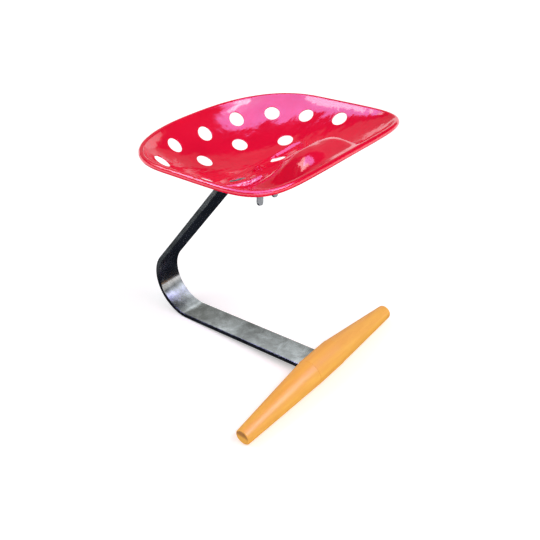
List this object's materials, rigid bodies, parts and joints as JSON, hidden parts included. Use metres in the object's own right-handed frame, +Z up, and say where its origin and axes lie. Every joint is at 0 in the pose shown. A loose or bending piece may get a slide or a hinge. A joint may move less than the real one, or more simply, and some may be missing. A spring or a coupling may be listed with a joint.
{
  "type": "tractor seat stool",
  "caption": "Stool with a pressed and perforated steel tractor seat, clamped by a wing nut to a bent flat steel bar that ends in a wooden foot bar.",
  "frame": {"origin": "on the floor under the centre of the whole stool's bounding box", "axes": "+Z up, the sitter faces -Y, +Y is the back where the steel bar bends, +X is to the sitter's left along the foot bar; X = 0 is the plane of symmetry"},
  "size_m": [0.4972, 0.5126, 0.5095],
  "materials": {
    "seat_lacquer": "high gloss",
    "stem_chrome": "polished",
    "foot_beech": "clear varnish",
    "bolt_zinc": "satin",
    "washer_zinc": "satin",
    "nut_zinc": "satin",
    "screw_zinc": "satin"
  },
  "bodies": {
    "stand": {"stem": "stem_chrome", "foot_bar": "foot_beech", "foot_screw_left": "screw_zinc", "foot_screw_right": "screw_zinc", "clamp_washer": "washer_zinc"},
    "seat": {"seat_pan": "seat_lacquer", "cap_washer": "washer_zinc", "seat_bolt": "bolt_zinc"},
    "nut": {"wing_nut": "nut_zinc"}
  },
  "joints": [
    {"name": "seat_swivel", "type": "hinge", "parent": "stand", "child": "seat", "pos_m": [0, -0.05714, 0.42211], "axis": [0, 0.3195, 0.9476], "continuous": true},
    {"name": "wing_nut_turn", "type": "hinge", "parent": "seat", "child": "nut", "pos_m": [0, -0.06481, 0.39936], "axis": [0, 0.3195, 0.9476], "continuous": true}
  ]
}
